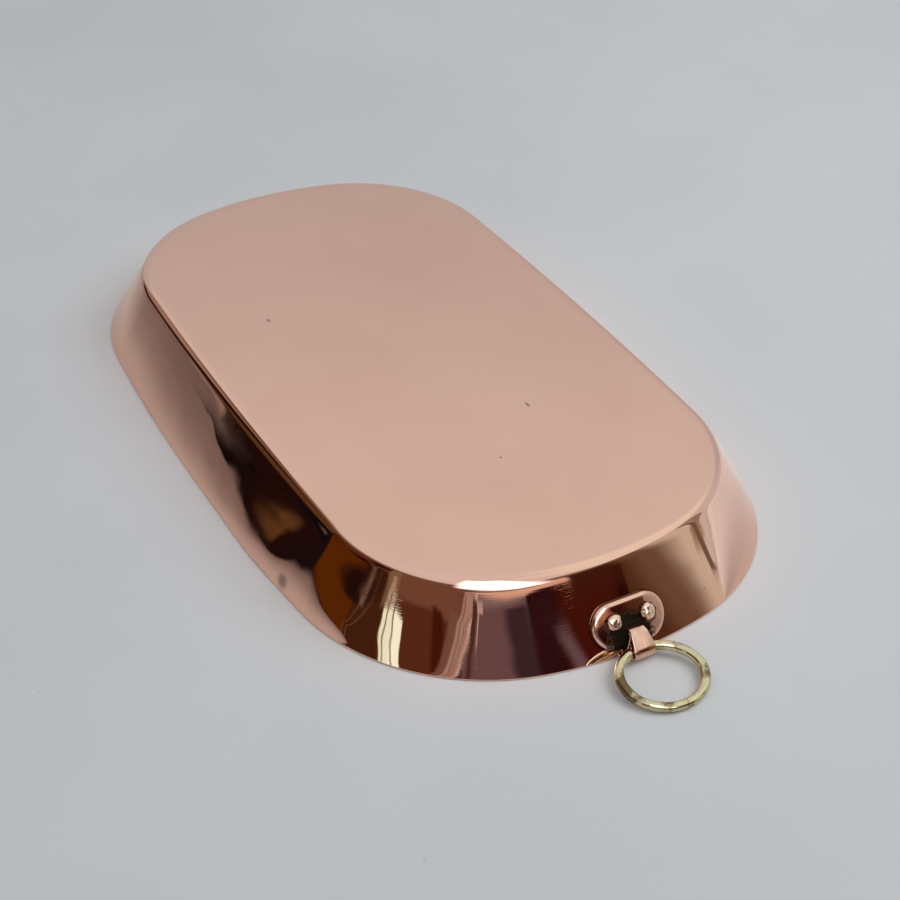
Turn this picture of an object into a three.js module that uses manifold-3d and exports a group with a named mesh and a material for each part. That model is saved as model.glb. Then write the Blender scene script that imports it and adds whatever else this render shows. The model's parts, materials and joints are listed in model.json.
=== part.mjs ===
// Copper gratin pan, lying mouth down.
// A shallow tray of sheet copper, rounded oblong in plan, with flared walls and a plain cut rim.
// Its inside is tinned. At one end two rivets hold an escutcheon plate, whose strap carries a brass ring.
// Units are millimetres. The origin is the centre of the base's outer face, +Z points out of
// that face, and the hanging ring is at +X.
import * as THREE from "three";
import { mergeVertices } from "three/addons/utils/BufferGeometryUtils.js";
import Module from "manifold-3d";

// Tray
const rimLength = 360;
const rimWidth = 210.5;
const panHeight = 32.7;
const flare = 19.9; // how far the wall leans out between the base and the rim
const sheet = 1.8; // thickness of the copper
const baseFillet = 5; // outer radius where the wall meets the base
const rimCorner = 84.5; // corner radius in plan
const baseCorner = 66.8;
const rimSideTurn = 4.86; // degrees from the middle of a bowed side to where its corner starts
const baseSideTurn = 1.97;
const rimEndTurn = 13.9; // the same for the two bowed ends
const baseEndTurn = 13.2;

// Tinning
const tinThickness = 0.3;
const bareRim = 1.6; // copper left bare up the inner wall from the rim

// Escutcheon plate, measured along the end wall (up from the rim) and across it
const lugOffset = 1.2; // plate, rivets, strap and ring sit this far to +Y of the end's middle
const plateLength = 31.5;
const plateHeight = 18.2;
const plateThickness = 3; // at its middle
const plateCrown = 1.3; // how much lower the domed face is at the ends of its two axes
const plateRise = 12.5; // height of its centre line up the wall
const edgeRoundWidth = 1.4;
const edgeRoundDepth = 0.95;

// Rivets
const rivetSpacing = 14.3;
const rivetRise = 14.3;
const shankDiameter = 4;
const headDiameter = 6.8;
const headHeight = 2.6;
const innerHeadDiameter = 8;
const innerHeadHeight = 1.2;

// Strap that carries the ring
const strapThickness = 1;
const strapRootWidth = 6.5;
const strapLoopWidth = 9.2;
const strapLegRise = 9.5; // middle of the slot, up the wall
const legSpacing = 1.5; // between the middles of the two legs
const upperFoot = 3.6; // straight length of each hidden foot
const lowerFoot = 2.4;
const footBend = 0.75; // bend radii at the middle of the thickness
const shoulderBend = 3;
const returnBend = 0.9;
const returnLean = 25; // degrees that the lower leg leans away from the wall
const eyeRise = 2; // place of the eye's centre, up the wall and out from it
const eyeReach = 5.2;

// Hanging ring
const wireDiameter = 4;
const ringLength = 34.4; // outside, away from the pan
const ringWidth = 36.8; // outside, across

// Clearances
const seatGap = 0.2; // between pieces that the rivets draw together
const holeGap = 0.2; // round a shank in its hole, and round the strap in its slot
const eyeGap = 0.26; // between the wire and the strap at the edges of the eye
const tableGap = 0.02; // under the resting ring

// Fineness of the curves
const sideSteps = 3;
const cornerSteps = 14;
const endSteps = 5;
const filletSteps = 5;
const turnSteps = 24; // around a rivet or a wire's section
const ringSteps = 64;

const copper = new THREE.MeshStandardMaterial({ color: 0xc98468, roughness: 0.22, metalness: 1 });
const tin = new THREE.MeshStandardMaterial({ color: 0xb9bab6, roughness: 0.45, metalness: 1 });
const brass = new THREE.MeshStandardMaterial({ color: 0xa8985c, roughness: 0.35, metalness: 1 });

const radians = THREE.MathUtils.degToRad;
const manifold = await Module();
manifold.setup();

// Joins rings of points, each with as many points as the next, into one closed surface.
// The ends are closed by fans, unless the last ring runs on into the first. Each four-sided
// patch is split along its shorter diagonal, so two skins that share rings share their faces.
function skin(rings, endless = false) {
  const across = rings[0].length;
  const points = rings.flat();
  const faces = [];
  const bands = endless ? rings.length : rings.length - 1;
  for (let band = 0; band < bands; band++) {
    const here = band * across;
    const next = ((band + 1) % rings.length) * across;
    for (let i = 0; i < across; i++) {
      const j = (i + 1) % across;
      const patch = [here + i, next + i, next + j, here + j];
      const [a, b, c, d] = patch.map((index) => points[index]);
      const split = a.distanceTo(c) < b.distanceTo(d) ? [0, 1, 2, 0, 2, 3] : [1, 2, 3, 1, 3, 0];
      faces.push(...split.map((corner) => patch[corner]));
    }
  }
  if (!endless) {
    const last = (rings.length - 1) * across;
    const first = points.push(middleOf(rings[0])) - 1;
    const final = points.push(middleOf(rings.at(-1))) - 1;
    for (let i = 0; i < across; i++) {
      const j = (i + 1) % across;
      faces.push(first, i, j, final, last + j, last + i);
    }
  }
  const geometry = new THREE.BufferGeometry().setFromPoints(points);
  return geometry.setIndex(faces);
}

function middleOf(ring) {
  const sum = ring.reduce((total, point) => total.add(point), new THREE.Vector3());
  return sum.divideScalar(ring.length);
}

// Boolean cut of one closed geometry by others.
function solid(geometry) {
  const bare = geometry.clone().deleteAttribute("normal").deleteAttribute("uv");
  const merged = mergeVertices(bare, 1e-4);
  return new manifold.Manifold(new manifold.Mesh({
    numProp: 3,
    vertProperties: merged.getAttribute("position").array,
    triVerts: new Uint32Array(merged.index.array),
  }));
}

function cut(geometry, ...cutters) {
  let body = solid(geometry);
  for (const cutter of cutters) body = body.subtract(solid(cutter));
  const mesh = body.getMesh();
  const result = new THREE.BufferGeometry();
  result.setAttribute("position", new THREE.BufferAttribute(mesh.vertProperties, 3));
  return result.setIndex(new THREE.BufferAttribute(mesh.triVerts, 1));
}

// A plan outline made of three tangent arcs in each quarter: a bowed side, a round corner and
// a bowed end. The corner's radius and the turns are given, and the other two radii follow.
function planOutline(halfLength, halfWidth, corner, sideTurn, endTurn) {
  const s = radians(sideTurn);
  const e = radians(endTurn);
  const acrossLeft = halfLength - corner * (Math.cos(e) - Math.sin(s));
  const downLeft = halfWidth - corner * (Math.cos(s) - Math.sin(e));
  const a = Math.sin(s);
  const b = 1 - Math.cos(e);
  const c = 1 - Math.cos(s);
  const d = Math.sin(e);
  const sideRadius = (acrossLeft * d - b * downLeft) / (a * d - b * c);
  const endRadius = (a * downLeft - c * acrossLeft) / (a * d - b * c);
  const arcs = [
    [0, s, sideRadius, sideSteps],
    [s, Math.PI / 2 - e, corner, cornerSteps],
    [Math.PI / 2 - e, Math.PI / 2, endRadius, endSteps],
  ];
  const quarter = [new THREE.Vector2(0, halfWidth)];
  for (const [from, to, radius, steps] of arcs) {
    const start = quarter.at(-1);
    for (let i = 1; i <= steps; i++) {
      const turn = from + ((to - from) * i) / steps;
      quarter.push(new THREE.Vector2(
        start.x + radius * (Math.sin(turn) - Math.sin(from)),
        start.y + radius * (Math.cos(turn) - Math.cos(from)),
      ));
    }
  }
  const mirrored = (list, x, y) => list.map((p) => new THREE.Vector2(p.x * x, p.y * y));
  const half = [...quarter, ...mirrored(quarter.slice(0, -1), 1, -1).reverse()];
  const whole = [...half, ...mirrored(half.slice(1, -1), -1, 1).reverse()];
  return { points: whole.reverse(), endRadius, endTurn: e };
}

const rimPlan = planOutline(rimLength / 2, rimWidth / 2, rimCorner, rimSideTurn, rimEndTurn);
const basePlan = planOutline(
  rimLength / 2 - flare, rimWidth / 2 - flare, baseCorner, baseSideTurn, baseEndTurn,
);

// The wall's section at one station of the outline, as [inward distance, height] pairs that run
// from the flat of the base down to the rim, for a skin that lies depth below the outer face.
function wallSection(reach, depth, footHeight) {
  const slope = Math.atan2(panHeight, reach);
  const tangent = baseFillet * Math.tan(slope / 2);
  const radius = baseFillet - depth;
  const section = [];
  for (let i = 0; i <= filletSteps; i++) {
    const turn = (slope * i) / filletSteps;
    section.push([
      reach + tangent - radius * Math.sin(turn),
      radius * Math.cos(turn) - baseFillet,
    ]);
  }
  const foot = footHeight / Math.tan(slope) + depth / Math.sin(slope);
  section.push([foot, footHeight - panHeight]);
  return section;
}

// Rings of points round the tray, one for each point of the wall's section.
function trayRings(depth, footHeight = 0) {
  const stations = rimPlan.points.map((rim, i) => {
    const inward = basePlan.points[i].clone().sub(rim);
    const section = wallSection(inward.length(), depth, footHeight);
    inward.normalize();
    return section.map(([distance, height]) => new THREE.Vector3(
      rim.x + inward.x * distance, rim.y + inward.y * distance, height,
    ));
  });
  return stations[0].map((_, level) => stations.map((station) => station[level]));
}

// The end wall's own directions, at the middle of the +X end.
const wallSlope = Math.atan2(panHeight, flare);
const upWall = new THREE.Vector3(-Math.cos(wallSlope), 0, Math.sin(wallSlope));
const outOfWall = new THREE.Vector3(Math.sin(wallSlope), 0, Math.cos(wallSlope));
const wallLength = Math.hypot(panHeight, flare);

// A point beside the end wall: across it, up it from the rim, and out from its face. It follows
// the bow of the end.
function besideWall(across, up, out) {
  const share = up / wallLength;
  const level = (from, to) => from + (to - from) * share;
  const arc = level(rimPlan.endRadius * rimPlan.endTurn, basePlan.endRadius * basePlan.endTurn);
  const turnTo = (plan, half) => {
    const turn = (plan.endTurn * across) / arc;
    return [half - plan.endRadius * (1 - Math.cos(turn)), plan.endRadius * Math.sin(turn), turn];
  };
  const [rimX, rimY, rimTurn] = turnTo(rimPlan, rimLength / 2);
  const [baseX, baseY, baseTurn] = turnTo(basePlan, rimLength / 2 - flare);
  const turn = level(rimTurn, baseTurn);
  const point = new THREE.Vector3(level(rimX, baseX), level(rimY, baseY), -panHeight * (1 - share));
  return point.addScaledVector(normalAt(turn), out);
}

function normalAt(turn) {
  return outOfWall.clone().applyAxisAngle(new THREE.Vector3(0, 0, 1), turn);
}

// Places a geometry whose Y axis is to stand out from the wall, at some place on the lug.
function standOnWall(geometry, across, up) {
  const foot = besideWall(lugOffset + across, up, 0);
  const out = besideWall(lugOffset + across, up, 1).sub(foot);
  const turn = new THREE.Quaternion().setFromUnitVectors(new THREE.Vector3(0, 1, 0), out.normalize());
  return geometry.applyQuaternion(turn).translate(foot.x, foot.y, foot.z);
}

// A pin through the wall at one rivet, wide enough to clear the shank.
function rivetHole(across) {
  const length = 4 * (plateThickness + sheet);
  const radius = shankDiameter / 2 + holeGap;
  return standOnWall(new THREE.CylinderGeometry(radius, radius, length, turnSteps), across, rivetRise);
}

const rivetHoles = () => [-1, 1].map((side) => rivetHole((side * rivetSpacing) / 2));

function panBody() {
  const outer = trayRings(0);
  const inner = trayRings(sheet);
  const tinEdge = trayRings(sheet, bareRim).at(-1);
  return cut(skin([...outer, inner.pop(), tinEdge, ...inner.reverse()]), ...rivetHoles());
}

function tinLining() {
  const against = trayRings(sheet, bareRim);
  const inside = trayRings(sheet + tinThickness, bareRim);
  return cut(skin([...against, ...inside.reverse()]), ...rivetHoles());
}

// The plate's outline drawn in by some distance, about its own middle: two half circles joined
// by straight edges.
function plateOutline(inset) {
  const radius = plateHeight / 2 - inset;
  const straight = (plateLength - plateHeight) / 2;
  const outline = [];
  for (let i = 0; i < 2 * turnSteps; i++) {
    const turn = (2 * Math.PI * (i + 0.5)) / (2 * turnSteps);
    const side = Math.sign(Math.cos(turn));
    outline.push([side * straight + radius * Math.cos(turn), radius * Math.sin(turn)]);
  }
  return outline;
}

// Half the width, and the two levels, of a block that cuts into the plate from behind.
function plateCutter(halfWidth, fromRise, toRise, fromOut, toOut) {
  const block = new THREE.BoxGeometry(toRise - fromRise, toOut - fromOut, 2 * halfWidth);
  block.translate((fromRise + toRise) / 2, (fromOut + toOut) / 2, 0);
  return block.applyMatrix4(wallFrame());
}

// Turns (up the wall, out of the wall, along +Y) into the pan's own directions, below the lug.
function wallFrame() {
  const frame = new THREE.Matrix4().makeBasis(upWall, outOfWall, new THREE.Vector3(0, 1, 0));
  return frame.setPosition(besideWall(lugOffset, 0, 0));
}

const plateFace = seatGap + plateThickness;

// How far the domed face stands out from the wall at (u, v) from the plate's middle.
function faceLevel(u, v) {
  return plateFace - plateCrown * ((2 * u / plateLength) ** 2 + (2 * v / plateHeight) ** 2);
}

// The hammer beds each rivet's head in a flat spot of the domed face.
const headSeat = faceLevel(rivetSpacing / 2, rivetRise - plateRise);

function headBed(across) {
  const radius = headDiameter / 2 + holeGap;
  const bed = new THREE.CylinderGeometry(radius, radius, plateFace, turnSteps);
  return standOnWall(bed.translate(0, headSeat + plateFace / 2, 0), across, rivetRise);
}

function lugPlate() {
  const place = (u, v, out) => besideWall(lugOffset + u, plateRise + v, out);
  const backRing = (inset) => plateOutline(inset).map(([u, v]) => place(u, v, seatGap));
  const frontRing = (inset, below) => (
    plateOutline(inset).map(([u, v]) => place(u, v, faceLevel(u, v) - below))
  );
  const insets = [0.95, 0.75, 0.5, 0.3].map((share) => (share * plateHeight) / 2);
  const edge = [];
  for (let i = 0; i <= filletSteps; i++) {
    const turn = (Math.PI / 2) * (i / filletSteps);
    const inset = edgeRoundWidth * (1 - Math.cos(turn));
    edge.push(frontRing(inset, edgeRoundDepth * (1 - Math.sin(turn))));
  }
  const front = insets.map((inset) => frontRing(inset, 0)).reverse();
  const halfSlot = strapRootWidth / 2 + holeGap;
  const halfLegs = (legSpacing + strapThickness) / 2 + holeGap;
  const below = legSpacing / 2 + footBend;
  const recess = plateCutter(
    halfSlot,
    strapLegRise - below - lowerFoot - holeGap,
    strapLegRise + below + upperFoot + holeGap,
    -plateThickness,
    seatGap + strapThickness + holeGap,
  );
  const slot = plateCutter(
    halfSlot, strapLegRise - halfLegs, strapLegRise + halfLegs, 0, 2 * plateFace,
  );
  const back = [...insets, 0].map(backRing);
  const rings = [...back, ...edge, ...front].reverse();
  const beds = [-1, 1].map((side) => headBed((side * rivetSpacing) / 2));
  return cut(skin(rings), recess, slot, ...rivetHoles(), ...beds);
}

// The middle line of the strap, in the plane that stands on the wall: up the wall and out of it.
// Each step of an arc holds its place, its heading and how far along the strap it is.
function strapPath() {
  const path = [];
  let travelled = 0;
  const goTo = (up, out, heading) => {
    const last = path.at(-1);
    if (last) travelled += Math.hypot(up - last.up, out - last.out);
    path.push({ up, out, heading, travelled });
  };
  // Side is 1 for a turn to the left and -1 for one to the right.
  const bend = (up, out, radius, from, to, side) => {
    const steps = Math.max(3, Math.round(Math.abs(to - from) / 15));
    for (let i = 0; i <= steps; i++) {
      const heading = radians(from + ((to - from) * i) / steps);
      goTo(up + side * radius * Math.sin(heading), out - side * radius * Math.cos(heading), heading);
    }
  };
  const footLevel = seatGap + strapThickness / 2;
  const upperLeg = strapLegRise + legSpacing / 2;
  const lowerLeg = strapLegRise - legSpacing / 2;
  const eyeRadius = eyeBend();

  goTo(upperLeg + footBend + upperFoot, footLevel, Math.PI);
  bend(upperLeg + footBend, footLevel + footBend, footBend, 180, 90, -1);

  // The shoulder and the eye are joined by their common tangent.
  const shoulder = { up: upperLeg - shoulderBend, out: plateFace + 0.4 };
  const apart = Math.hypot(eyeRise - shoulder.up, eyeReach - shoulder.out);
  const between = Math.atan2(eyeReach - shoulder.out, eyeRise - shoulder.up);
  const joining = (between + Math.asin((eyeRadius - shoulderBend) / apart)) * (180 / Math.PI);
  bend(shoulder.up, shoulder.out, shoulderBend, 90, joining, 1);
  bend(eyeRise, eyeReach, eyeRadius, joining, 360 + returnLean, 1);

  // The way back meets the lower leg in a tight bend.
  const lean = radians(returnLean);
  const leave = { up: eyeRise + eyeRadius * Math.sin(lean), out: eyeReach - eyeRadius * Math.cos(lean) };
  const meetUp = lowerLeg - returnBend - returnBend * Math.sin(lean);
  const meetOut = leave.out + (meetUp - leave.up) * Math.tan(lean);
  bend(lowerLeg - returnBend, meetOut - returnBend * Math.cos(lean), returnBend, returnLean, -90, -1);
  bend(lowerLeg - footBend, footLevel + footBend, footBend, -90, -180, -1);
  goTo(lowerLeg - footBend - lowerFoot, footLevel, -Math.PI);
  return path;
}

// How far the ring's curve strays from a straight line over half the strap's width.
function wireStray() {
  const half = (strapLoopWidth / 2) / ((ringWidth - wireDiameter) / 2);
  return ((ringLength - wireDiameter) / 2) * (1 - Math.sqrt(1 - half * half));
}

// Radius of the eye at the middle of the strap's thickness.
function eyeBend() {
  return wireDiameter / 2 + wireStray() / 2 + eyeGap + strapThickness / 2;
}

function ringStrap() {
  const path = strapPath();
  const length = path.at(-1).travelled;
  const hidden = upperFoot + footBend * 2 + plateFace;
  const sections = path.map(({ up, out, heading, travelled }) => {
    const fromEnd = Math.min(travelled, length - travelled);
    const open = THREE.MathUtils.smoothstep(fromEnd, hidden, hidden + plateHeight / 3);
    const half = THREE.MathUtils.lerp(strapRootWidth, strapLoopWidth, open) / 2;
    const side = [(-Math.sin(heading) * strapThickness) / 2, (Math.cos(heading) * strapThickness) / 2];
    return [[1, -1], [-1, -1], [-1, 1], [1, 1]].map(([face, edge]) => new THREE.Vector3(
      up + face * side[0], out + face * side[1], edge * half,
    ));
  });
  return skin(sections).applyMatrix4(wallFrame());
}

// One rivet: a low head on the tinned side, a shank through the wall and plate, a round head.
function rivet(across) {
  const inside = -(sheet + tinThickness + seatGap);
  const outside = headSeat + seatGap;
  const shank = shankDiameter / 2;
  const profile = [];
  const steps = turnSteps / 3;
  for (let i = 0; i <= steps; i++) {
    const turn = (Math.PI / 2) * (i / steps);
    profile.push([(innerHeadDiameter / 2) * Math.sin(turn), inside - innerHeadHeight * Math.cos(turn)]);
  }
  profile.push([shank, inside], [shank, outside]);
  for (let i = 0; i <= steps; i++) {
    const turn = (Math.PI / 2) * (i / steps);
    profile.push([(headDiameter / 2) * Math.cos(turn), outside + headHeight * Math.sin(turn)]);
  }
  const points = profile.map(([radius, out]) => new THREE.Vector2(Math.max(radius, 0), out));
  points[0].x = 0;
  points.at(-1).x = 0;
  return standOnWall(new THREE.LatheGeometry(points, turnSteps), across, rivetRise);
}

// The ring is a little wider than it is long. It is made flat, with the pan's end at its origin.
function hangingRing() {
  const halfLength = (ringLength - wireDiameter) / 2;
  const halfWidth = (ringWidth - wireDiameter) / 2;
  const sections = [];
  for (let i = 0; i < ringSteps; i++) {
    const turn = (2 * Math.PI * i) / ringSteps;
    const middle = new THREE.Vector3(-halfLength * Math.cos(turn), halfWidth * Math.sin(turn), 0);
    const away = new THREE.Vector3(-halfWidth * Math.cos(turn), halfLength * Math.sin(turn), 0);
    away.normalize();
    const section = [];
    for (let k = 0; k < turnSteps / 2; k++) {
      const roll = (-4 * Math.PI * k) / turnSteps;
      const point = middle.clone().addScaledVector(away, (wireDiameter / 2) * Math.cos(roll));
      section.push(point.setZ((wireDiameter / 2) * Math.sin(roll)));
    }
    sections.push(section);
  }
  return skin(sections, true).translate(halfLength - wireStray() / 2, 0, 0);
}

function piece(name, geometry, material) {
  const mesh = new THREE.Mesh(geometry, material);
  mesh.name = name;
  return mesh;
}

const pan = new THREE.Group();
pan.add(
  piece("pan_body", panBody(), copper),
  piece("tin_lining", tinLining(), tin),
  piece("lug_plate", lugPlate(), copper),
  piece("ring_strap", ringStrap(), copper),
  piece("rivet_left", rivet(-rivetSpacing / 2), copper),
  piece("rivet_right", rivet(rivetSpacing / 2), copper),
);

// The ring turns about the middle of the eye and rests with its far side on the table.
const eye = new THREE.Group();
eye.position.set(eyeRise, eyeReach, 0).applyMatrix4(wallFrame());
const drop = eye.position.z + panHeight - wireDiameter / 2 - tableGap;
eye.rotation.y = Math.asin(drop / (ringLength - wireDiameter - wireStray() / 2));
eye.add(piece("hanging_ring", hangingRing(), brass));
pan.add(eye);

export default pan;
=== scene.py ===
"""Looks of a copper gratin pan that lies mouth down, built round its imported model.

Units are metres. The origin is the centre of the base's outer face, +Z points out of it, and
the hanging ring is at +X.
"""

import json
import math

import bmesh
import bpy
import numpy as np
from mathutils import Matrix, Vector, noise


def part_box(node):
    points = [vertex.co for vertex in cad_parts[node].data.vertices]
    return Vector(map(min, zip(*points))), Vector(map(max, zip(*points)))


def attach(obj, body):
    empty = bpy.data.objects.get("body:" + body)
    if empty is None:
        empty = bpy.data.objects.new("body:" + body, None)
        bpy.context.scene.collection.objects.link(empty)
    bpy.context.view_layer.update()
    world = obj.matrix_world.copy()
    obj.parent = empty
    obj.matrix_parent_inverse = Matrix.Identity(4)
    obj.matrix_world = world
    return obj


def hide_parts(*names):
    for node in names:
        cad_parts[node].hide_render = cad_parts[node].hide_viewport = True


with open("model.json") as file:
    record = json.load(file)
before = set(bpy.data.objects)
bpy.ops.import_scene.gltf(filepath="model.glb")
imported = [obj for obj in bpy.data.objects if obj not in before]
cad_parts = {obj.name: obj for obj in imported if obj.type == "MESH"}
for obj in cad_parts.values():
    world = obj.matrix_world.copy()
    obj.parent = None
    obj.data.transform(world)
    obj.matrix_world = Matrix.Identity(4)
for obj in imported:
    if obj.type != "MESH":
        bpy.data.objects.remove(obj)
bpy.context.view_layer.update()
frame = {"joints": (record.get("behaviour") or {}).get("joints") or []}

MM = 0.001

# Tray. Its length, width and height come from the frame. The rest is what the CAD part has, but
# for the rim's rounding and the lining's gap, which are the skin's own.
PAN_LOW, PAN_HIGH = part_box("pan_body")
HALF_LENGTH = PAN_HIGH.x
HALF_WIDTH = PAN_HIGH.y
HEIGHT = -PAN_LOW.z
FLARE = 19.9 * MM
SHEET = 1.8 * MM
FILLET = 5 * MM
RIM_CORNER, BASE_CORNER = 84.5 * MM, 66.8 * MM
RIM_SIDE_TURN, BASE_SIDE_TURN = 4.86, 1.97
RIM_END_TURN, BASE_END_TURN = 13.9, 13.2
TIN = 0.3 * MM
BARE_RIM = 1.6 * MM
RIM_ROUND = 0.8 * MM
RIM_DRAWN_IN = RIM_ROUND * 0.3
TIN_GAP = 0.02 * MM

# Unevenness of the hand-raised copper
WALL_BOW = 0.06 * MM
HAMMER_DEPTH, HAMMER_SPAN, HAMMER_STRETCH = 0.07 * MM, 24 * MM, (1, 1, 0.6)
RIPPLE_DEPTH, RIPPLE_SPAN = 0.012 * MM, 7 * MM
# Shares of the wall's height at which the hammering comes in and fades, and how near the plate
# the wall is true
HAMMER_RISES, HAMMER_FADES, TRUE_NEAR_PLATE = (0.0, 0.3), (0.6, 1.0), (14 * MM, 26 * MM)
# The base sags a little inside the share of its width where this fades
BASE_DEPTH, BASE_SPAN, BASE_FADES = 0.10 * MM, 85 * MM, (0.85, 1.0)
# Broad swells in the wall: where on the rim, how wide along it, how far out, and the shares of
# the wall's height at which each has risen from the rim, starts to fade, and is gone
SWELLS = (
    ((0.060, -0.1043), 25 * MM, 0.86 * MM, 0, 0, 0.75),
    ((0.070, -0.1040), 11 * MM, 0.27 * MM, 0.25, 0.25, 0.85),
    ((0.092, -0.1015), 16 * MM, 0.50 * MM, 0.32, 0.32, 1),
    ((0.078, -0.1030), 26 * MM, 0.26 * MM, 0, 0.6, 1),
    ((0.120, -0.0930), 13 * MM, 0.62 * MM, 0.24, 0.24, 1),
    ((-0.012, -0.1052), 30 * MM, -0.12 * MM, 0, 0.4, 1),
)
# The fillet is rounder at one corner: how much, where on the base, and how wide
ROUNDER, ROUNDER_AT, ROUNDER_WIDTH = 2.4 * MM, (0.156, -0.040), 30 * MM

# Escutcheon plate, rivets and strap, measured up the end wall, across it and out of it
LUG_OFFSET = frame["joints"][0]["pos_m"][1]
PLATE_LENGTH, PLATE_HEIGHT, PLATE_THICKNESS = 31.5 * MM, 18.2 * MM, 3 * MM
PLATE_RISE = 12.5 * MM
EDGE_WIDTH, EDGE_DEPTH = 1.6 * MM, 1.05 * MM
PLATE_CROWN_ALONG, PLATE_CROWN_ACROSS = 1.3 * MM, 0.4 * MM
RIVET_SPACING, RIVET_RISE = 14.3 * MM, 14.3 * MM
SHANK = 4 * MM
HEAD, HEAD_HEIGHT = 6.8 * MM, 2.6 * MM
# The head is taller than wide, sits a little in the plate, and its crown is flatter than a ball's
HEAD_TALLNESS, HEAD_SUNK, HEAD_CROWN = 1.1, 0.1 * MM, 0.8
DENT_SPAN, DENT_DEPTH, DENT_MEAN = 1.9 * MM, 0.13, 0.05
INNER_HEAD, INNER_HEAD_HEIGHT = 8 * MM, 1.2 * MM
STRAP_THICKNESS, STRAP_ROOT, STRAP_LOOP = 1 * MM, 6.5 * MM, 9.2 * MM
STRAP_LEG_RISE, LEG_SPACING = 9.5 * MM, 1.5 * MM
UPPER_FOOT, LOWER_FOOT = 3.6 * MM, 2.4 * MM
FOOT_BEND, SHOULDER_BEND, RETURN_BEND = 0.75 * MM, 3 * MM, 0.9 * MM
SHOULDER_PROUD, STRAP_CORNER = 0.4 * MM, 0.34 * MM
RETURN_LEAN = 25
EYE_RISE, EYE_REACH, EYE_GAP = 2 * MM, 5.2 * MM, 0.26 * MM
# The plate stands this far off the wall in the CAD part, and its skin's back this far
CAD_SEAT, SEAT = 0.2 * MM, 0.03 * MM

# Hanging ring
WIRE, RING_LENGTH, RING_WIDTH = 4 * MM, 34.4 * MM, 36.8 * MM
# Where the ring's curve is out of true: the place along it, how wide, and by what share
RING_BENDS = ((311, 24, 0.022), (238, 20, 0.016), (205, 20, 0.012), (125, 28, -0.025))
# The hammered wire turns and is more or less square along the ring. Each is a mean, how far it
# strays, and its part of the noise. The lap is how far the noise runs in one round.
WIRE_TWIST, WIRE_SQUARENESS, NOISE_LAP = (0, 0.5, 4.7), (2.35, 0.6, 8.2), 1.9
WIRE_FILL, WIRE_DENT, WIRE_DENT_SPAN, WIRE_DENT_PART = 0.93, 0.035, 4.2 * MM, (3.1, 0, 0)

# Camera, solved from the photograph's rim and base outlines
CAMERA_AZIMUTH, CAMERA_ELEVATION, CAMERA_ROLL = 60.97, 35.96, 0.863
CAMERA_DISTANCE = 0.78555
CAMERA_TARGET = Vector((0.0341, 0.0012, -0.0327))
LENS, SENSOR_WIDTH = 72.64, 36

FLOOR_LEVEL = -HEIGHT


# Shader nodes

def add(tree, kind, inputs=(), **settings):
    """Adds a node. Inputs maps a socket's name or number to a value or to an output."""
    node = tree.nodes.new(kind)
    for name, value in settings.items():
        setattr(node, name, value)
    for name, value in dict(inputs).items():
        if isinstance(value, bpy.types.NodeSocket):
            tree.links.new(value, node.inputs[name])
        else:
            node.inputs[name].default_value = value
    return node


def calc(tree, operation, *values):
    return add(tree, "ShaderNodeMath", enumerate(values), operation=operation).outputs[0]


def vector_calc(tree, operation, *values):
    """A sum on vectors, which gives a number where the operation does."""
    node = add(tree, "ShaderNodeVectorMath", enumerate(values), operation=operation)
    return node.outputs["Value" if operation in ("LENGTH", "DOT_PRODUCT") else "Vector"]


def product(tree, value, *others):
    for other in others:
        value = calc(tree, "MULTIPLY", value, other)
    return value


def rest_of(tree, share):
    return calc(tree, "SUBTRACT", 1.0, share)


def ramp(tree, value, low, high, to_low=0.0, to_high=1.0):
    """A smooth step from to_low at low to to_high at high."""
    inputs = {"Value": value, 1: low, 2: high, 3: to_low, 4: to_high}
    return add(tree, "ShaderNodeMapRange", inputs, interpolation_type="SMOOTHSTEP").outputs[0]


def mix(tree, share, first, second):
    """Blends two colours."""
    inputs = {0: share, 6: first, 7: second}
    return add(tree, "ShaderNodeMix", inputs, data_type="RGBA").outputs[2]


def scaled(tree, vector, scale):
    inputs = {"Vector": vector, "Scale": scale}
    return add(tree, "ShaderNodeMapping", inputs).outputs[0]


def cloud(tree, vector, scale, detail=3.0, roughness=0.5):
    inputs = {"Vector": vector, "Scale": scale, "Detail": detail, "Roughness": roughness}
    return add(tree, "ShaderNodeTexNoise", inputs).outputs["Fac"]


def rgb(red, green, blue):
    return (red, green, blue, 1.0)


def between(tree, value, low, high, softness):
    """1 between two values and 0 outside them."""
    half = softness / 2
    return product(tree, ramp(tree, value, low - half, low + half),
                   ramp(tree, value, high - half, high + half, 1.0, 0.0))


def new_material(name):
    material = bpy.data.materials.new(name)
    material.use_nodes = True
    tree = material.node_tree
    return material, tree, tree.nodes["Principled BSDF"]


# Meshes made of rings of points

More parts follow.
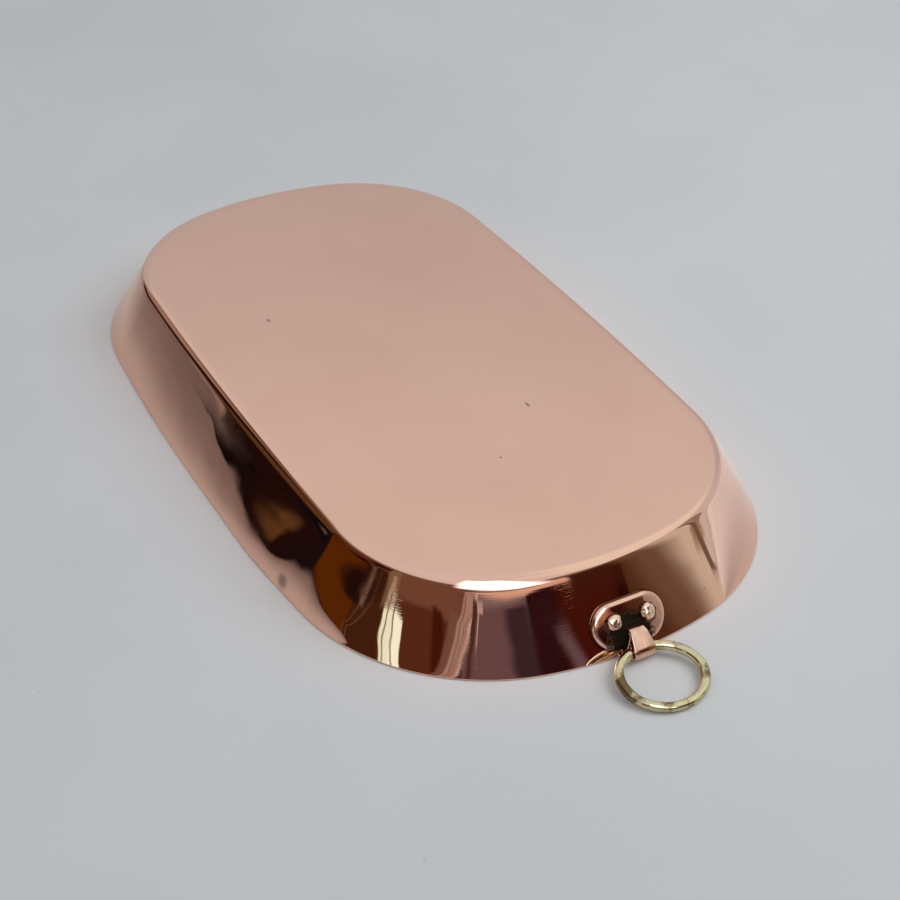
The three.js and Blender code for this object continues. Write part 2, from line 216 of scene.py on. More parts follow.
def mesh_from_rings(name, rings, endless=False, uv=None):
    """Joins rings of points into one mesh. Its ends are closed by fans, unless it is endless.

    uv gives the length round the rings at each station and the length across them at each ring.
    """
    rings = np.asarray(rings, float)
    count, around = rings.shape[:2]
    points = rings.reshape(-1, 3).tolist()
    faces = []
    for band in range(count if endless else count - 1):
        here, there = band * around, ((band + 1) % count) * around
        for i in range(around):
            j = (i + 1) % around
            faces.append((here + i, here + j, there + j, there + i))
    if not endless:
        last = (count - 1) * around
        points.append(rings[0].mean(0).tolist())
        points.append(rings[-1].mean(0).tolist())
        first_hub, last_hub = len(points) - 2, len(points) - 1
        for i in range(around):
            j = (i + 1) % around
            faces.append((first_hub, j, i))
            faces.append((last_hub, last + i, last + j))
    mesh = bpy.data.meshes.new(name)
    mesh.from_pydata(points, [], faces)
    if uv is not None:
        along, down = uv
        layer = mesh.uv_layers.new(name="section")
        for face in mesh.polygons:
            wraps = {v % around for v in face.vertices if v < count * around}
            over = 0 in wraps and around - 1 in wraps
            for loop, v in zip(face.loop_indices, face.vertices):
                ring, station = divmod(min(v, count * around - 1), around)
                lap = 1 if over and station == 0 else 0
                layer.data[loop].uv = (along[station] + lap * along[-1], down[ring])
    made = bmesh.new()
    made.from_mesh(mesh)
    bmesh.ops.recalc_face_normals(made, faces=made.faces)
    made.to_mesh(mesh)
    made.free()
    mesh.shade_smooth()
    piece = bpy.data.objects.new(name, mesh)
    bpy.context.scene.collection.objects.link(piece)
    return piece


def dress(piece, body, slot, material, *nodes):
    """Hands a finished piece to the frame: its body, its material and what it replaces. Its slot is
    not used.
    """
    piece.data.materials.clear()
    piece.data.materials.append(material)
    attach(piece, body)
    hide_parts(*nodes)


# What moves the noise for each next seed
SEED_STEP = (17.3, 5.1, 9.7)


def noise_at(points, span, seed):
    """Smooth noise from -1 to 1 at each point, with features about one span wide."""
    shift = Vector([seed * step for step in SEED_STEP])
    return np.array([noise.noise(Vector(p) / span + shift) for p in points])


def smoothstep(value, low, high):
    share = np.clip((value - low) / (high - low), 0, 1)
    return share * share * (3 - 2 * share)


# The tray's outline

SIDE_STEPS, CORNER_STEPS, END_STEPS = 30, 52, 18


def plan_outline(half_length, half_width, corner, side_turn, end_turn):
    """Three tangent arcs in each quarter: a bowed side, a round corner and a bowed end.

    Returns the points, counter-clockwise from the -X end, and the radius of the end's bow.
    """
    s, e = math.radians(side_turn), math.radians(end_turn)
    across_left = half_length - corner * (math.cos(e) - math.sin(s))
    down_left = half_width - corner * (math.cos(s) - math.sin(e))
    a, b, c, d = math.sin(s), 1 - math.cos(e), 1 - math.cos(s), math.sin(e)
    side_radius = (across_left * d - b * down_left) / (a * d - b * c)
    end_radius = (a * down_left - c * across_left) / (a * d - b * c)
    quarter = [(0.0, half_width)]
    arcs = (
        (0.0, s, side_radius, SIDE_STEPS),
        (s, math.pi / 2 - e, corner, CORNER_STEPS),
        (math.pi / 2 - e, math.pi / 2, end_radius, END_STEPS),
    )
    for start, stop, radius, steps in arcs:
        x, y = quarter[-1]
        for i in range(1, steps + 1):
            turn = start + (stop - start) * i / steps
            quarter.append((
                x + radius * (math.sin(turn) - math.sin(start)),
                y + radius * (math.cos(turn) - math.cos(start)),
            ))
    quarter = np.array(quarter)
    whole = np.vstack([
        (quarter * (-1, -1))[::-1][:-1],
        (quarter * (1, -1))[:-1],
        quarter[::-1][:-1],
        (quarter * (-1, 1))[:-1],
    ])
    return whole, end_radius


RIM, RIM_END_RADIUS = plan_outline(
    HALF_LENGTH, HALF_WIDTH, RIM_CORNER, RIM_SIDE_TURN, RIM_END_TURN,
)
BASE, BASE_END_RADIUS = plan_outline(
    HALF_LENGTH - FLARE, HALF_WIDTH - FLARE, BASE_CORNER, BASE_SIDE_TURN, BASE_END_TURN,
)
REACH = np.linalg.norm(BASE - RIM, axis=1)
INWARD = (BASE - RIM) / REACH[:, None]
SLOPE = np.arctan2(HEIGHT, REACH)
CORNER_AWAY = np.linalg.norm(BASE - ROUNDER_AT, axis=1) / ROUNDER_WIDTH
ROUNDING = FILLET + ROUNDER * np.exp(-CORNER_AWAY ** 2)
TANGENT = ROUNDING * np.tan(SLOPE / 2)

FILLET_STEPS, WALL_STEPS, BASE_STEPS, RIM_STEPS = 12, 26, 36, 4
# Size of the fan in the base's middle, as a share of the base
BASE_HOLE = 0.02


def station_points(inward, level):
    """Points at an inward distance from the rim's outline, and at a level, one for each station."""
    flat = RIM + INWARD * np.broadcast_to(inward, REACH.shape)[:, None]
    return np.column_stack([flat, np.broadcast_to(level, REACH.shape)])


def swelling(share):
    """How far the broad swells shift the wall outwards, at a share of its height."""
    out = np.zeros(len(RIM))
    for place, width, height, risen, fading, gone in SWELLS:
        away = np.linalg.norm(RIM - place, axis=1) / width
        rise = math.sin(math.pi / 2 * min(share / risen, 1)) if risen else 1
        out += height * np.exp(-away * away) * rise * (1 - smoothstep(share, fading, gone))
    return out


def unevenness(points, share):
    """How far the hammered wall stands out from a true one, at a share of its height."""
    bow = WALL_BOW * 4 * share * (1 - share)
    hammer = HAMMER_DEPTH * noise_at(points * HAMMER_STRETCH, HAMMER_SPAN, 1)
    hammer += RIPPLE_DEPTH * noise_at(points, RIPPLE_SPAN, 2)
    near_plate = np.linalg.norm((points - PLATE_MIDDLE) * (1, 0.75, 1), axis=1)
    free = smoothstep(share, *HAMMER_RISES) * (1 - smoothstep(share, *HAMMER_FADES))
    return bow + hammer * free * smoothstep(near_plate, *TRUE_NEAR_PLATE)


def section_rings(depth, foot):
    """Rings from the edge of the base's flat down to the rim, for a skin at a depth in the sheet."""
    rings = []
    radius = ROUNDING - depth
    for i in range(FILLET_STEPS + 1):
        turn = SLOPE * i / FILLET_STEPS
        inward = REACH + TANGENT - radius * np.sin(turn)
        level = radius * np.cos(turn) - ROUNDING
        rings.append(station_points(inward, level))
    top_inward, top_level = inward, level
    foot_inward = foot / np.tan(SLOPE) + depth / np.sin(SLOPE)
    foot_level = foot - HEIGHT
    out = np.column_stack([-INWARD * np.sin(SLOPE)[:, None], np.cos(SLOPE)])
    for i in range(1, WALL_STEPS + 1):
        share = 1 - i / WALL_STEPS
        inward = foot_inward + (top_inward - foot_inward) * share
        level = foot_level + (top_level - foot_level) * share
        points = station_points(inward - swelling(share), level)
        rings.append(points + out * unevenness(points + out * depth, share)[:, None])
    return rings


def base_rings(edge, depth):
    """Rings from the middle of the base out to just inside the edge of its flat."""
    rings = []
    for share in np.linspace(BASE_HOLE, 1.0, BASE_STEPS)[:-1]:
        ring = edge * (share, share, 1)
        sag = 0.5 + 0.5 * noise_at(ring * (1, 1, 0), BASE_SPAN, 3)
        fade = 1 - smoothstep(share, *BASE_FADES)
        ring[:, 2] = -depth - BASE_DEPTH * sag * fade
        rings.append(ring)
    return rings


def rim_rings():
    """The cut rim: flat, with its two corners rounded."""
    inner_foot = SHEET / np.sin(SLOPE)
    shift = swelling(0)
    rings = []
    for i in range(1, RIM_STEPS + 1):
        turn = math.pi / 2 * i / RIM_STEPS
        inward = RIM_ROUND * (1 - math.cos(turn)) + RIM_DRAWN_IN
        rings.append(station_points(inward - shift, RIM_ROUND * (1 - math.sin(turn)) - HEIGHT))
    for i in range(RIM_STEPS + 1):
        turn = math.pi / 2 * i / RIM_STEPS
        inward = inner_foot - RIM_ROUND * (1 - math.sin(turn)) + RIM_DRAWN_IN
        rings.append(station_points(inward - shift, RIM_ROUND * (1 - math.cos(turn)) - HEIGHT))
    return rings


def running_length(points):
    steps = np.linalg.norm(np.diff(points, axis=0), axis=1)
    return np.concatenate([[0], np.cumsum(steps)])


# The end wall's own directions

WALL_SLOPE = math.atan2(HEIGHT, FLARE)
UP_WALL = Vector((-math.cos(WALL_SLOPE), 0, math.sin(WALL_SLOPE)))
OUT_OF_WALL = Vector((math.sin(WALL_SLOPE), 0, math.cos(WALL_SLOPE)))
WALL_LENGTH = math.hypot(HEIGHT, FLARE)
RIM_MIDDLE = Vector((HALF_LENGTH, 0, -HEIGHT))
PLATE_MIDDLE = RIM_MIDDLE + UP_WALL * PLATE_RISE + Vector((0, LUG_OFFSET, 0))


def beside_wall(across, up, out):
    """A point across the end wall, up it from the rim and out from its face. It follows the bow."""
    share = up / WALL_LENGTH
    rim_turn, base_turn = math.radians(RIM_END_TURN), math.radians(BASE_END_TURN)
    arc = RIM_END_RADIUS * rim_turn * (1 - share) + BASE_END_RADIUS * base_turn * share
    rim_angle, base_angle = rim_turn * across / arc, base_turn * across / arc
    rim = Vector((
        HALF_LENGTH - RIM_END_RADIUS * (1 - math.cos(rim_angle)),
        RIM_END_RADIUS * math.sin(rim_angle), -HEIGHT,
    ))
    base = Vector((
        HALF_LENGTH - FLARE - BASE_END_RADIUS * (1 - math.cos(base_angle)),
        BASE_END_RADIUS * math.sin(base_angle), 0,
    ))
    turn = Matrix.Rotation(rim_angle * (1 - share) + base_angle * share, 3, "Z")
    return rim.lerp(base, share) + turn @ OUT_OF_WALL * out


def stand_on_wall(profile, across, up, around):
    """Turns a profile of [radius, distance out, tallness] into rings about a pin in the wall."""
    foot = beside_wall(across, up, 0)
    out = (beside_wall(across, up, 1 * MM) - foot).normalized()
    side = out.cross(Vector((0, 0, 1))).normalized()
    rise = side.cross(out)
    rings = []
    for radius, distance, tallness in profile:
        ring = []
        for i in range(around):
            turn = 2 * math.pi * i / around
            spoke = side * math.cos(turn) + rise * math.sin(turn) * tallness
            ring.append(foot + out * distance + spoke * radius)
        rings.append(ring)
    return rings


# Pieces

def make_pan():
    outer = section_rings(0, RIM_ROUND)
    inner = section_rings(SHEET, RIM_ROUND)
    rings = [*base_rings(outer[0], 0), *outer, *rim_rings(), *inner[::-1]]
    rings += base_rings(inner[0], SHEET)[::-1]
    along = running_length(np.vstack([RIM, RIM[:1]]))
    down = running_length(np.array([ring[0] for ring in rings]))
    return mesh_from_rings("pan_body_skin", rings, uv=(along, down))


def make_tin():
    against = section_rings(SHEET + TIN_GAP, BARE_RIM)
    inside = section_rings(SHEET + TIN, BARE_RIM)
    rings = [*base_rings(against[0], SHEET + TIN_GAP), *against]
    rings += [*inside[::-1], *base_rings(inside[0], SHEET + TIN)[::-1]]
    return mesh_from_rings("tin_lining_skin", rings)


PLATE_FACE = CAD_SEAT + PLATE_THICKNESS
DEGREES_A_STEP = 6


def face_level(u, v):
    """How far the plate's domed face stands out from the wall, at a place from its middle."""
    along, across = 2 * u / PLATE_LENGTH, 2 * v / PLATE_HEIGHT
    return PLATE_FACE - PLATE_CROWN_ALONG * along ** 2 - PLATE_CROWN_ACROSS * across ** 2


def plate_ring(inset, below=None, around=120):
    """The plate's outline, drawn in by an inset, on its face or, without a depth, on its back."""
    radius = PLATE_HEIGHT / 2 - inset
    straight = (PLATE_LENGTH - PLATE_HEIGHT) / 2
    ring = []
    for i in range(around):
        turn = 2 * math.pi * (i + 0.5) / around
        u = math.copysign(straight, math.cos(turn)) + radius * math.cos(turn)
        v = radius * math.sin(turn)
        out = SEAT if below is None else face_level(u, v) - below
        ring.append(beside_wall(LUG_OFFSET + u, PLATE_RISE + v, out))
    return ring


def make_plate():
    half = PLATE_HEIGHT / 2
    rings = [plate_ring(half * share) for share in (0.99, 0.6, 0.2, 0.02)]
    edge_steps = 10
    for i in range(edge_steps + 1):
        turn = math.pi / 2 * i / edge_steps
        rings.append(plate_ring(EDGE_WIDTH * (1 - math.cos(turn)), EDGE_DEPTH * (1 - math.sin(turn))))
    for share in np.linspace(EDGE_WIDTH / half, 0.99, 14)[1:]:
        rings.append(plate_ring(half * share, 0))
    return mesh_from_rings("lug_plate_skin", rings)


def strap_path():
    """Middle line of the strap in the plane that stands on the wall, as in the CAD part."""
    path = []

    def go_to(up, out, heading):
        travelled = 0.0
        if path:
            last = path[-1]
            travelled = last[3] + math.hypot(up - last[0], out - last[1])
        path.append((up, out, heading, travelled))

    def bend(up, out, radius, start, stop, side):
        steps = max(4, round(abs(stop - start) / DEGREES_A_STEP))
        for i in range(steps + 1):
            heading = math.radians(start + (stop - start) * i / steps)
            go_to(
                up + side * radius * math.sin(heading),
                out - side * radius * math.cos(heading), heading,
            )

    foot_level = CAD_SEAT + STRAP_THICKNESS / 2
    upper_leg = STRAP_LEG_RISE + LEG_SPACING / 2
    lower_leg = STRAP_LEG_RISE - LEG_SPACING / 2
    eye_radius = eye_bend()
    go_to(upper_leg + FOOT_BEND + UPPER_FOOT, foot_level, math.pi)
    bend(upper_leg + FOOT_BEND, foot_level + FOOT_BEND, FOOT_BEND, 180, 90, -1)

    # The shoulder and the eye are joined by their common tangent.
    shoulder_up, shoulder_out = upper_leg - SHOULDER_BEND, PLATE_FACE + SHOULDER_PROUD
    apart = math.hypot(EYE_RISE - shoulder_up, EYE_REACH - shoulder_out)
    direct = math.atan2(EYE_REACH - shoulder_out, EYE_RISE - shoulder_up)
    joining = math.degrees(direct + math.asin((eye_radius - SHOULDER_BEND) / apart))
    bend(shoulder_up, shoulder_out, SHOULDER_BEND, 90, joining, 1)
    bend(EYE_RISE, EYE_REACH, eye_radius, joining, 360 + RETURN_LEAN, 1)

    # The way back meets the lower leg in a tight bend.
    lean = math.radians(RETURN_LEAN)
    leave_up = EYE_RISE + eye_radius * math.sin(lean)
    leave_out = EYE_REACH - eye_radius * math.cos(lean)
    meet_up = lower_leg - RETURN_BEND - RETURN_BEND * math.sin(lean)
    meet_out = leave_out + (meet_up - leave_up) * math.tan(lean)
    bend(
        lower_leg - RETURN_BEND, meet_out - RETURN_BEND * math.cos(lean), RETURN_BEND,
        RETURN_LEAN, -90, -1,
    )
    bend(lower_leg - FOOT_BEND, foot_level + FOOT_BEND, FOOT_BEND, -90, -180, -1)
    go_to(lower_leg - FOOT_BEND - LOWER_FOOT, foot_level, -math.pi)
    return path


def wire_stray():
    """How far the ring's curve strays from a straight line over half the strap's width."""
    half = (STRAP_LOOP / 2) / ((RING_WIDTH - WIRE) / 2)
    return ((RING_LENGTH - WIRE) / 2) * (1 - math.sqrt(1 - half * half))


def eye_bend():
    return WIRE / 2 + wire_stray() / 2 + EYE_GAP + STRAP_THICKNESS / 2


def make_strap():
    path = strap_path()
    length = path[-1][3]
    hidden = UPPER_FOOT + FOOT_BEND * 2 + PLATE_FACE
    below_lug = beside_wall(LUG_OFFSET, 0, 0)
    rings = []
    for up, out, heading, travelled in path:
        from_end = min(travelled, length - travelled)
        opened = float(smoothstep(from_end, hidden, hidden + PLATE_HEIGHT / 3))
        half = (STRAP_ROOT + (STRAP_LOOP - STRAP_ROOT) * opened) / 2
        ring = []
        for quarter in range(4):
            side = 1 if quarter in (0, 3) else -1
            face = 1 if quarter in (0, 1) else -1
            for step in range(4):
                turn = math.pi / 2 * (quarter + step / 3)
                edge = side * (half - STRAP_CORNER) + STRAP_CORNER * math.cos(turn)
                lift = face * (STRAP_THICKNESS / 2 - STRAP_CORNER) + STRAP_CORNER * math.sin(turn)
                place = below_lug + UP_WALL * (up - math.sin(heading) * lift)
                place += OUT_OF_WALL * (out + math.cos(heading) * lift)
                place += Vector((0, 1, 0)) * edge
                ring.append(place)
        rings.append(ring)
    return mesh_from_rings("ring_strap_skin", rings)


def make_rivet(name, across, seed):
    """A low head inside, a shank, and a round head that the hammer has faceted."""
    inside = -(SHEET + TIN + TIN_GAP)
    outside = face_level(RIVET_SPACING / 2, RIVET_RISE - PLATE_RISE) - HEAD_SUNK
    steps, around = 14, 48
    profile = []
    for i in range(1, steps + 1):
        turn = math.pi / 2 * i / steps
        level = inside - INNER_HEAD_HEIGHT * math.cos(turn)
        profile.append((INNER_HEAD / 2 * math.sin(turn), level, 1))
    profile += [(SHANK / 2, inside, 1), (SHANK / 2, outside, 1)]
    for i in range(steps):
        turn = math.pi / 2 * i / steps
        level = outside + HEAD_HEIGHT * math.sin(turn)
        profile.append((HEAD / 2 * math.cos(turn) ** HEAD_CROWN, level, HEAD_TALLNESS))
    rings = np.array(stand_on_wall(profile, LUG_OFFSET + across, RIVET_RISE, around))
    middle = np.array(beside_wall(LUG_OFFSET + across, RIVET_RISE, outside))
    for ring in rings[steps + 2:]:
        dents = DENT_DEPTH * noise_at(ring, DENT_SPAN, seed) - DENT_MEAN
        ring += (ring - middle) * dents[:, None]
    return mesh_from_rings(name, rings)


def make_ring():
    """The forged ring: a little oval and out of true, with flats round its wire."""
    pivot = Vector(frame["joints"][0]["pos_m"])
    half_length, half_width = (RING_LENGTH - WIRE) / 2, (RING_WIDTH - WIRE) / 2
    low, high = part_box("hanging_ring")
    drop = pivot.z - (low.z + WIRE / 2)
    tilt = math.asin(drop / (RING_LENGTH - WIRE - wire_stray() / 2))
    turned = Matrix.Rotation(tilt, 3, "Y")
    around, across = 180, 32
    rings = []
    for i in range(around):
        turn = 2 * math.pi * i / around
        size = 1.0
        for place, width, share in RING_BENDS:
            size += share * math.exp(-((math.degrees(turn) - place) / width) ** 2)
        middle = Vector((-half_length * math.cos(turn), half_width * math.sin(turn), 0)) * size
        away = Vector((-half_width * math.cos(turn), half_length * math.sin(turn), 0)).normalized()
        middle.x += half_length - wire_stray() / 2
        lap = Vector((math.cos(turn), math.sin(turn), 0)) * NOISE_LAP
        twist, squareness = (
            mean + stray * noise.noise(lap + Vector((0, 0, part)))
            for mean, stray, part in (WIRE_TWIST, WIRE_SQUARENESS)
        )
        ring = []
        for k in range(across):
            roll = 2 * math.pi * k / across
            spoke = away * math.cos(roll) + Vector((0, 0, 1)) * math.sin(roll)
            facing = roll - twist
            flats = abs(math.cos(facing)) ** squareness + abs(math.sin(facing)) ** squareness
            place = middle + spoke * WIRE / 2
            dent = WIRE_DENT * noise.noise(place / WIRE_DENT_SPAN + Vector(WIRE_DENT_PART))
            radius = WIRE / 2 * min(1, WIRE_FILL * flats ** (-1 / squareness) + dent)
            ring.append(pivot + turned @ (middle + spoke * radius))
        rings.append(ring)
    return mesh_from_rings("hanging_ring_skin", rings, endless=True)


# Materials

COPPER, COPPER_WORN = rgb(0.93, 0.605, 0.50), rgb(0.80, 0.49, 0.40)
# Dark for the nicks and old tarnish, and also for painted shade where the plate, strap and rivets
# meet the copper
TARNISH_AND_SHADE = rgb(0.03, 0.022, 0.016)
# The rivet heads' copper is paler than the rest, a painted brightness on top of their polish
LUG_PATINA, LUG_HEAD_PAINTED_BRIGHT = rgb(0.55, 0.25, 0.17), rgb(0.98, 0.78, 0.60)
BRASS, BRASS_STAIN = rgb(0.78, 0.72, 0.49), rgb(0.22, 0.155, 0.075)
TIN_DULL, TIN_BRIGHT = rgb(0.62, 0.62, 0.6), rgb(0.76, 0.76, 0.74)

# How fine streaks are along each axis. The tray's run along its outline and down its section.
COPPER_STREAKS = (60.0, 2300.0, 1.0)
TIN_STREAKS = (30.0, 160.0, 60.0)
STRAP_STREAKS = (200.0, 900.0, 200.0)

# Levels between which the wall's finish turns into the base's, and how much rougher the base is
BASE_FINISH, BASE_ROUGHNESS = (-0.6 * MM, -0.2 * MM), 0.16
# Where the wall is most brushed, and how far from there the hairlines fade
BRUSHED_AT, BRUSHED_REACH = (0.163, -0.042, -0.018), (22 * MM, 42 * MM)
# Dirt and painted contact shade on the wall beside the plate: how far it reaches, and where along
# the pan the end begins
GRIME_AND_SHADE_REACH, END_STARTS = (0.2 * MM, 1.1 * MM), 0.15
# Small marks in the copper: where, how each axis is stretched to give its shape, how dark
NICKS = (
    ((-0.0501, -0.0454, 0), (0.5, 1.1, 1), 0.5),
    ((0.0600, 0.0234, 0), (0.45, 1.3, 1), 0.6),
    ((0.0873, -0.0052, 0), (1.4, 1.2, 1), 0.5),
    ((0.0850, -0.1010, -0.0285), (0.25, 0.5, 0.22), 0.55),
    ((0.1697, 0.0389, -0.0240), (1.6, 1.6, 1.2), 0.3),
)
NICK_REACH = (0.3 * MM, 1.2 * MM)

# Tarnish and painted shade round the strap's root: how far its middle lies aside and below, how
# each axis is stretched, between which distances it fades, and how ragged its edge is
ROOT_ASIDE, ROOT_BELOW, ROOT_STRETCH = 1.5 * MM, 3.4 * MM, (0.7, 0.85, 0.8)
ROOT_REACH, RAGGEDNESS = (7.2 * MM, 9.0 * MM), 7.0 * MM
# A ring of it round each rivet's head, set low so that it is painted shade beneath the head as
# well as tarnish: how far its middle lies below, from and to beside the head, and how soft it is
HALO_BELOW, HALO_FROM, HALO_TO, HALO_SOFTNESS = 0.7 * MM, 0.35 * MM, 0.9 * MM, 0.5 * MM
# What stands this far above the plate's face is a rivet's head
HEAD_PROUD = (0.5 * MM, 0.9 * MM)
# How far to +Y the plate is worn bare, and how far inside its outline the old patina stays
WORN_FROM, PATINA_INSIDE = (7 * MM, 10 * MM), (-1.9 * MM, -1.3 * MM)

# Where old tarnish stays on the ring, and how far it reaches
STAINS = (((0.1965, -0.0145, -0.0285), 9 * MM), ((0.204, 0.0148, -0.0285), 6 * MM))


def beside_plate(tree, place):
    """Distance outside the plate's outline, in the plane of the wall."""
    apart = vector_calc(tree, "SUBTRACT", place, PLATE_MIDDLE)
    rise = vector_calc(tree, "DOT_PRODUCT", apart, UP_WALL)
    across = add(tree, "ShaderNodeSeparateXYZ", {0: apart}).outputs["Y"]
    straight = (PLATE_LENGTH - PLATE_HEIGHT) / 2
    over = calc(tree, "SUBTRACT", calc(tree, "ABSOLUTE", across), straight)
    over = calc(tree, "MAXIMUM", over, 0.0)
    squares = calc(tree, "ADD", calc(tree, "POWER", over, 2.0), calc(tree, "POWER", rise, 2.0))
    return calc(tree, "SUBTRACT", calc(tree, "POWER", squares, 0.5), PLATE_HEIGHT / 2)


def nearness(tree, place, middle, stretch=(1, 1, 1)):
    """Distance from a point, with each axis stretched."""
    apart = scaled(tree, vector_calc(tree, "SUBTRACT", place, middle), stretch)
    return vector_calc(tree, "LENGTH", apart)


def finish_metal(tree, shader, colour, roughness, height, depth, strength):
    """Gives a metal its colour and roughness, and a bump drawn from a height."""
    tree.links.new(colour, shader.inputs["Base Color"])
    tree.links.new(roughness, shader.inputs["Roughness"])
    shader.inputs["Metallic"].default_value = 1.0
    bump = add(tree, "ShaderNodeBump", {"Height": height, "Distance": depth, "Strength": strength})
    tree.links.new(bump.outputs[0], shader.inputs["Normal"])


def copper_material():
    """A hand-polished mirror with a little haze and hairlines. The base is duller than the wall."""
    material, tree, shader = new_material("polished_copper")
    place = add(tree, "ShaderNodeTexCoord").outputs["Object"]
    along, _, level = add(tree, "ShaderNodeSeparateXYZ", {0: place}).outputs
    base = ramp(tree, level, *BASE_FINISH)
    wall = rest_of(tree, base)

    blotch = ramp(tree, cloud(tree, place, 14.0, 2.0), 0.35, 0.8, 0.0, 0.3)
    colour = mix(tree, blotch, COPPER, COPPER_WORN)
    section = add(tree, "ShaderNodeUVMap", uv_map="section").outputs[0]
    brushed = cloud(tree, scaled(tree, section, COPPER_STREAKS), 1.0, 4.0, 0.7)
    brushing = ramp(tree, nearness(tree, place, BRUSHED_AT), *BRUSHED_REACH, 1.0, 0.12)
    hairline = product(tree, ramp(tree, brushed, 0.45, 0.62, 0.0, 0.45), brushing, wall)
    colour = mix(tree, hairline, colour, COPPER_WORN)

    # Darker along the plate's outline on the wall: dirt and painted contact shade. The nicks are real
    # marks.
    grime_and_shade = ramp(tree, beside_plate(tree, place), *GRIME_AND_SHADE_REACH, 0.9, 0.0)
    grime_and_shade = product(tree, grime_and_shade, calc(tree, "GREATER_THAN", along, END_STARTS))
    for middle, stretch, darkness in NICKS:
        distance = nearness(tree, place, middle, stretch)
        grime_and_shade = calc(tree, "MAXIMUM", grime_and_shade, ramp(tree, distance, *NICK_REACH, darkness, 0.0))
    colour = mix(tree, grime_and_shade, colour, TARNISH_AND_SHADE)

    haze = ramp(tree, cloud(tree, place, 40.0, 4.0, 0.6), 0.45, 0.8, 0.0, 0.05)
    roughness = calc(tree, "ADD", haze, product(tree, base, BASE_ROUGHNESS))
    patchy = ramp(tree, cloud(tree, place, 22.0, 2.0), 0.4, 0.7, 0.015, 0.12)
    finish_metal(tree, shader, colour, roughness, brushed, 0.05 * MM, product(tree, patchy, wall))
    return material


def tin_material():
    """Satin, with the streaks of the rag that wiped it on."""
    material, tree, shader = new_material("wiped_tin")
    place = add(tree, "ShaderNodeTexCoord").outputs["Object"]
    streak = cloud(tree, scaled(tree, place, TIN_STREAKS), 1.0, 4.0)
    colour = mix(tree, streak, TIN_DULL, TIN_BRIGHT)
    roughness = ramp(tree, streak, 0.3, 0.7, 0.32, 0.5)
    finish_metal(tree, shader, colour, roughness, streak, 0.2 * MM, 0.2)
    return material


def lug_material():
    """Copper that polish has reached on the high places only, the heads painted paler still, black
    with tarnish and painted shade round the strap's root and the heads.
    """
    material, tree, shader = new_material("lug_copper")
    place = add(tree, "ShaderNodeTexCoord").outputs["Object"]
    ragged = cloud(tree, place, 420.0, 3.0, 0.6)
    wobble = product(tree, calc(tree, "SUBTRACT", ragged, 0.5), -RAGGEDNESS)

    # Black round the strap's root: tarnish and painted shade.
    root = beside_wall(LUG_OFFSET - ROOT_ASIDE, STRAP_LEG_RISE - ROOT_BELOW, PLATE_FACE)
    from_root = calc(tree, "ADD", nearness(tree, place, root, ROOT_STRETCH), wobble)
    dirt_and_shade = ramp(tree, from_root, *ROOT_REACH, 1.0, 0.0)
    # A dark ring round each head, lower beneath it: tarnish and painted shade.
    for side in (-1, 1):
        across = LUG_OFFSET + side * RIVET_SPACING / 2
        rivet = beside_wall(across, RIVET_RISE - HALO_BELOW, PLATE_FACE)
        from_rivet = calc(tree, "ADD", nearness(tree, place, rivet), product(tree, wobble, 0.3))
        beside_head = (HEAD / 2 + HALO_FROM, HEAD / 2 + HALO_TO)
        halo = between(tree, from_rivet, *beside_head, HALO_SOFTNESS)
        dirt_and_shade = calc(tree, "MAXIMUM", dirt_and_shade, halo)

    apart = vector_calc(tree, "SUBTRACT", place, RIM_MIDDLE)
    proud = vector_calc(tree, "DOT_PRODUCT", apart, OUT_OF_WALL)
    head = ramp(tree, proud, *(PLATE_FACE + level for level in HEAD_PROUD))
    dirt_and_shade = product(tree, dirt_and_shade, rest_of(tree, head))
    to_side = add(tree, "ShaderNodeSeparateXYZ", {0: apart}).outputs["Y"]
    worn = ramp(tree, calc(tree, "ADD", to_side, wobble), *WORN_FROM)
    inside = calc(tree, "ADD", beside_plate(tree, place), product(tree, wobble, 0.15))
    patina = ramp(tree, inside, *PATINA_INSIDE, 1.0, 0.0)
    patina = product(tree, patina, rest_of(tree, calc(tree, "MAXIMUM", worn, head)))

    colour = mix(tree, patina, COPPER, LUG_PATINA)
    # The heads get the paler copper: painted brightness.
    colour = mix(tree, head, colour, LUG_HEAD_PAINTED_BRIGHT)
    # Tarnish and painted shade darken it round the root and the heads.
    colour = mix(tree, dirt_and_shade, colour, TARNISH_AND_SHADE)
    roughness = calc(tree, "MAXIMUM", product(tree, head, 0.2), product(tree, worn, 0.3))
    roughness = calc(tree, "MAXIMUM", roughness, 0.1)
    roughness = calc(tree, "MAXIMUM", roughness, product(tree, dirt_and_shade, 0.5))
    finish_metal(tree, shader, colour, roughness, ragged, 0.15 * MM, 0.3)
    return material


def strap_material():
    """Copper that the ring keeps bright, with marks across it."""
    material, tree, shader = new_material("strap_copper")
    place = add(tree, "ShaderNodeTexCoord").outputs["Object"]
    streak = cloud(tree, scaled(tree, place, STRAP_STREAKS), 1.0, 3.0)
    colour = mix(tree, ramp(tree, streak, 0.4, 0.8), COPPER, COPPER_WORN)
    roughness = ramp(tree, streak, 0.3, 0.7, 0.07, 0.18)
    finish_metal(tree, shader, colour, roughness, streak, 0.1 * MM, 0.2)
    return material


